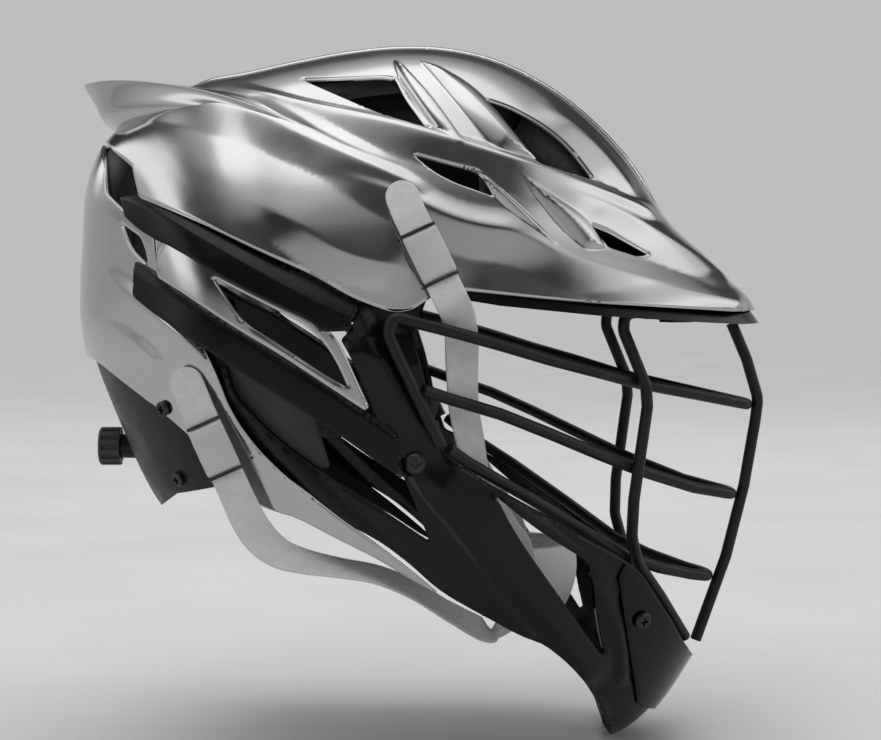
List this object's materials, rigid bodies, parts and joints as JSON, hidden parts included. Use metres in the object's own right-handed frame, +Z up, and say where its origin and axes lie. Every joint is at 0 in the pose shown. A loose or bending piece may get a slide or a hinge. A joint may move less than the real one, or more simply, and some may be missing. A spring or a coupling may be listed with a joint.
{
  "type": "lacrosse helmet",
  "caption": "Lacrosse helmet with a vented chrome shell, black jaw and chin guard, bent wire face mask, padded liner, chin cup on webbing straps and a turning fit dial.",
  "frame": {"origin": "on the ear-to-ear axis in the centre plane of the head cavity", "axes": "+X forward out of the face mask, +Y to the wearer's left, +Z up through the crown"},
  "size_m": [0.3393, 0.2266, 0.342],
  "materials": {
    "shell": "bright chrome plating on moulded plastic",
    "black_plastic": "semi-gloss black",
    "dark_plastic": "satin dark gray",
    "mask_wire": "satin black coating on bent steel wire",
    "hardware": "dark plated screws",
    "foam": "closed cell foam with a matt skin",
    "webbing": "woven light gray webbing",
    "strap_plastic": "light gray moulded plastic",
    "cup_plastic": "light gray moulded plastic"
  },
  "bodies": {
    "helmet": {"front_shell": "shell", "rear_shell": "shell", "side_loop_left": "shell", "side_loop_right": "shell", "brow_plate": "black_plastic", "jaw_guard": "black_plastic", "chin_plate": "black_plastic", "upper_rail_left": "black_plastic", "upper_rail_right": "black_plastic", "lower_rail_left": "black_plastic", "lower_rail_right": "black_plastic", "fit_carrier": "black_plastic", "fit_housing": "black_plastic", "housing_cover": "black_plastic", "ear_panel_left": "dark_plastic", "ear_panel_right": "dark_plastic", "mask_rim_wire": "mask_wire", "mask_middle_wire": "mask_wire", "mask_low_wire": "mask_wire", "mask_eye_wire": "mask_wire", "mask_centre_wire": "mask_wire", "mask_clip_left": "black_plastic", "mask_clip_right": "black_plastic", "clip_screws": "hardware", "jaw_screws": "hardware", "jaw_nuts": "hardware", "chin_screws": "hardware", "frame_screws": "hardware", "carrier_screws": "hardware", "nape_screws": "hardware", "cover_screws": "hardware", "front_studs": "hardware", "rear_studs": "hardware", "liner_crown": "foam", "liner_front": "foam", "liner_rear": "foam", "liner_side_left": "foam", "liner_side_right": "foam", "jaw_pad_left": "foam", "jaw_pad_right": "foam", "chin_cup_pad": "foam", "chin_cup": "cup_plastic", "front_strap_left": "webbing", "front_strap_right": "webbing", "rear_strap_left": "webbing", "rear_strap_right": "webbing"},
    "dial": {"fit_dial": "dark_plastic", "dial_shaft": "hardware"},
    "rack_left_body": {"rack_left": "black_plastic", "nape_pad_left": "foam"},
    "rack_right_body": {"rack_right": "black_plastic", "nape_pad_right": "foam"},
    "front_adjuster_left_body": {"front_adjuster_left": "strap_plastic"},
    "front_adjuster_right_body": {"front_adjuster_right": "strap_plastic"},
    "rear_adjuster_left_body": {"rear_adjuster_left": "strap_plastic"},
    "rear_adjuster_right_body": {"rear_adjuster_right": "strap_plastic"}
  },
  "joints": [
    {"name": "dial_turn", "type": "hinge", "parent": "helmet", "child": "dial", "pos_m": [-0.104, 0, -0.05508], "axis": [1, 0, 0], "range_deg": [0, 91.6]},
    {"name": "rack_left_slide", "type": "slide", "parent": "helmet", "child": "rack_left_body", "axis": [0, -1, 0], "range_m": [0, 0.008]},
    {"name": "rack_right_slide", "type": "slide", "parent": "helmet", "child": "rack_right_body", "axis": [0, 1, 0], "range_m": [0, 0.008]},
    {"name": "front_adjuster_left_slide", "type": "slide", "parent": "helmet", "child": "front_adjuster_left_body", "axis": [0.4358, 0.0872, -0.8958], "range_m": [-0.005, 0.005]},
    {"name": "front_adjuster_right_slide", "type": "slide", "parent": "helmet", "child": "front_adjuster_right_body", "axis": [0.4358, -0.0872, -0.8958], "range_m": [-0.005, 0.005]},
    {"name": "rear_adjuster_left_slide", "type": "slide", "parent": "helmet", "child": "rear_adjuster_left_body", "axis": [0.4111, 0, -0.9116], "range_m": [-0.005, 0.005]},
    {"name": "rear_adjuster_right_slide", "type": "slide", "parent": "helmet", "child": "rear_adjuster_right_body", "axis": [0.4111, 0, -0.9116], "range_m": [-0.005, 0.005]}
  ],
  "couplings": [
    {"joint": "rack_left_slide", "follows": "dial_turn", "m_per_rad": 0.005},
    {"joint": "rack_right_slide", "follows": "dial_turn", "m_per_rad": 0.005}
  ]
}
